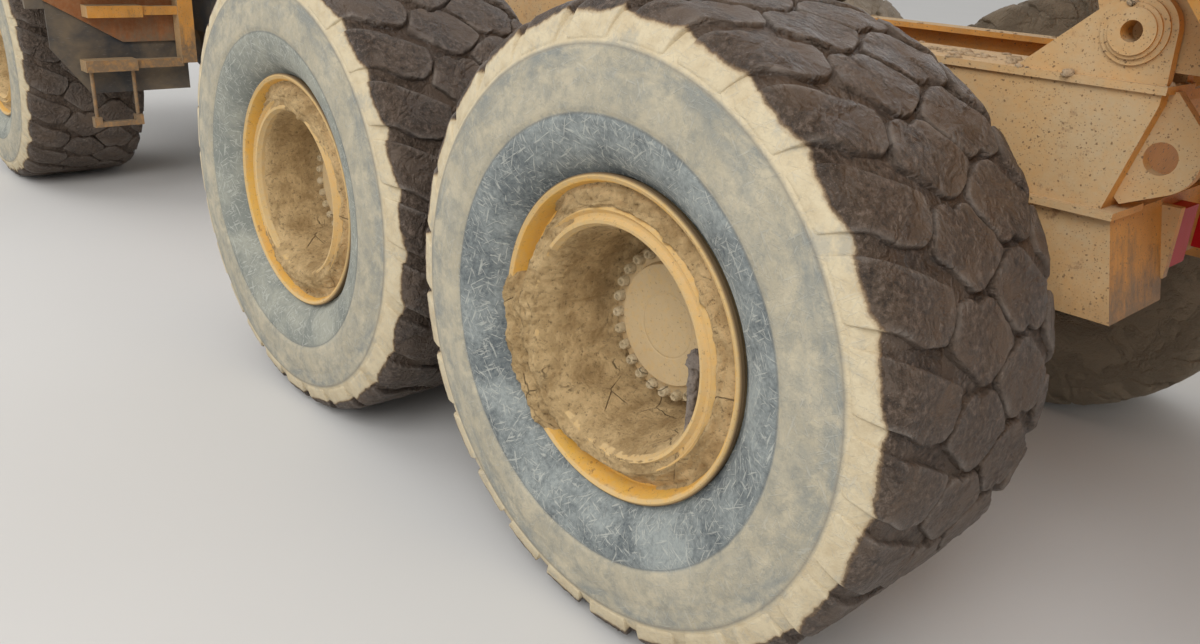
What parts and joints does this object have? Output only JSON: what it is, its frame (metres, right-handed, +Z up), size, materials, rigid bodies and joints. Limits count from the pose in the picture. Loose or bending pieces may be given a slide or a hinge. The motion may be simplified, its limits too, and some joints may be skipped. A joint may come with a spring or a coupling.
{
  "type": "articulated dump truck",
  "caption": "Articulated dump truck: tractor with cab and tilting hood, steering and oscillating hitch, tandem rear frame and tipping bed, shown with the bed raised.",
  "frame": {"origin": "bottom centre of the parked truck's box with the bed raised, on the ground", "axes": "+X forward, +Y left, +Z up"},
  "size_m": [10.2374, 3.084, 6.4053],
  "materials": {
    "paint": "satin, dusty",
    "dark_paint": "satin, dusty",
    "steel": "satin",
    "tyre_rubber": "matte, muddy",
    "red_lens": "gloss",
    "lamp_glass": "gloss",
    "window_glass": "gloss",
    "cab_plastic": "matte"
  },
  "bodies": {
    "rear_frame": {"rear_frame": "paint", "tail_frame": "paint", "walking_beams": "dark_paint", "rear_axles": "dark_paint", "tail_lamps": "red_lens"},
    "bed": {"dump_bed": "paint", "bed_underframe": "paint"},
    "hitch": {"hitch": "dark_paint"},
    "tractor": {"front_frame": "dark_paint", "front_axle": "dark_paint", "engine_block": "dark_paint", "bumper": "dark_paint", "headlamps": "lamp_glass", "cab_shell": "paint", "cab_glass": "window_glass", "cab_interior": "cab_plastic", "fenders": "dark_paint", "side_boxes": "paint", "ladder": "paint", "exhaust": "steel", "mirrors": "dark_paint"},
    "hood": {"hood": "paint", "grille": "dark_paint"},
    "door": {"cab_door": "paint", "door_glass": "window_glass"},
    "hoist_barrel_left": {"hoist_barrel_left": "dark_paint"},
    "hoist_rod_left": {"hoist_rod_left": "steel"},
    "steer_barrel_left": {"steer_barrel_left": "dark_paint"},
    "steer_rod_left": {"steer_rod_left": "steel"},
    "wheel_rear_left": {"tyre_rear_left": "tyre_rubber", "rim_rear_left": "paint"},
    "wheel_mid_left": {"tyre_mid_left": "tyre_rubber", "rim_mid_left": "paint"},
    "wheel_front_left": {"tyre_front_left": "tyre_rubber", "rim_front_left": "paint"},
    "hoist_barrel_right": {"hoist_barrel_right": "dark_paint"},
    "hoist_rod_right": {"hoist_rod_right": "steel"},
    "steer_barrel_right": {"steer_barrel_right": "dark_paint"},
    "steer_rod_right": {"steer_rod_right": "steel"},
    "wheel_rear_right": {"tyre_rear_right": "tyre_rubber", "rim_rear_right": "paint"},
    "wheel_mid_right": {"tyre_mid_right": "tyre_rubber", "rim_mid_right": "paint"},
    "wheel_front_right": {"tyre_front_right": "tyre_rubber", "rim_front_right": "paint"}
  },
  "joints": [
    {"name": "bed_tip", "type": "hinge", "parent": "rear_frame", "child": "bed", "pos_m": [-3.78134, 0, 1.594], "axis": [0, 1, 0], "range_deg": [0, 68]},
    {"name": "roll", "type": "hinge", "parent": "rear_frame", "child": "hitch", "pos_m": [1.06866, 0, 1.08], "axis": [1, 0, 0], "range_deg": [-15, 15]},
    {"name": "steer", "type": "hinge", "parent": "hitch", "child": "tractor", "pos_m": [1.06866, 0, 1.08], "axis": [0, 0, 1], "range_deg": [-45, 45]},
    {"name": "hood_tilt", "type": "hinge", "parent": "tractor", "child": "hood", "pos_m": [4.91866, 0, 1.31], "axis": [0, 1, 0], "range_deg": [0, 55]},
    {"name": "door_swing", "type": "hinge", "parent": "tractor", "child": "door", "pos_m": [3.02366, 0.786, 2.4], "axis": [0, 0, -1], "range_deg": [0, 80]},
    {"name": "hoist_swing_left", "type": "hinge", "parent": "rear_frame", "child": "hoist_barrel_left", "pos_m": [-1.08134, 0.53, 1], "axis": [0, -1, 0], "range_deg": [0, 15]},
    {"name": "hoist_stroke_left", "type": "slide", "parent": "hoist_barrel_left", "child": "hoist_rod_left", "axis": [-0.8878, 0, 0.4602], "range_m": [-0.6, 0]},
    {"name": "steer_swing_left", "type": "hinge", "parent": "tractor", "child": "steer_barrel_left", "pos_m": [1.66866, 0.4, 1.08], "axis": [0, 0, 1], "range_deg": [-9, 9]},
    {"name": "steer_stroke_left", "type": "slide", "parent": "steer_barrel_left", "child": "steer_rod_left", "axis": [-0.985, -0.1724, 0], "range_m": [-0.24, 0.24]},
    {"name": "spin_rear_left", "type": "hinge", "parent": "rear_frame", "child": "wheel_rear_left", "pos_m": [-3.08134, 1.17, 0.812], "axis": [0, 1, 0], "continuous": true},
    {"name": "spin_mid_left", "type": "hinge", "parent": "rear_frame", "child": "wheel_mid_left", "pos_m": [-1.41134, 1.17, 0.812], "axis": [0, 1, 0], "continuous": true},
    {"name": "spin_front_left", "type": "hinge", "parent": "tractor", "child": "wheel_front_left", "pos_m": [2.73866, 1.17, 0.812], "axis": [0, 1, 0], "continuous": true},
    {"name": "hoist_swing_right", "type": "hinge", "parent": "rear_frame", "child": "hoist_barrel_right", "pos_m": [-1.08134, -0.53, 1], "axis": [0, -1, 0], "range_deg": [0, 15]},
    {"name": "hoist_stroke_right", "type": "slide", "parent": "hoist_barrel_right", "child": "hoist_rod_right", "axis": [-0.8878, 0, 0.4602], "range_m": [-0.6, 0]},
    {"name": "steer_swing_right", "type": "hinge", "parent": "tractor", "child": "steer_barrel_right", "pos_m": [1.66866, -0.4, 1.08], "axis": [0, 0, 1], "range_deg": [-9, 9]},
    {"name": "steer_stroke_right", "type": "slide", "parent": "steer_barrel_right", "child": "steer_rod_right", "axis": [-0.985, 0.1724, 0], "range_m": [-0.24, 0.24]},
    {"name": "spin_rear_right", "type": "hinge", "parent": "rear_frame", "child": "wheel_rear_right", "pos_m": [-3.08134, -1.17, 0.812], "axis": [0, 1, 0], "continuous": true},
    {"name": "spin_mid_right", "type": "hinge", "parent": "rear_frame", "child": "wheel_mid_right", "pos_m": [-1.41134, -1.17, 0.812], "axis": [0, 1, 0], "continuous": true},
    {"name": "spin_front_right", "type": "hinge", "parent": "tractor", "child": "wheel_front_right", "pos_m": [2.73866, -1.17, 0.812], "axis": [0, 1, 0], "continuous": true}
  ],
  "couplings": [
    {"joint": "hoist_swing_left", "follows": "bed_tip", "ratio": 0.1966},
    {"joint": "hoist_stroke_left", "follows": "bed_tip", "m_per_rad": -0.4743},
    {"joint": "steer_swing_left", "follows": "steer", "ratio": -0.1639},
    {"joint": "steer_stroke_left", "follows": "steer", "m_per_rad": -0.2797},
    {"joint": "hoist_swing_right", "follows": "bed_tip", "ratio": 0.1966},
    {"joint": "hoist_stroke_right", "follows": "bed_tip", "m_per_rad": -0.4743},
    {"joint": "steer_swing_right", "follows": "steer", "ratio": -0.1639},
    {"joint": "steer_stroke_right", "follows": "steer", "m_per_rad": 0.2797}
  ]
}
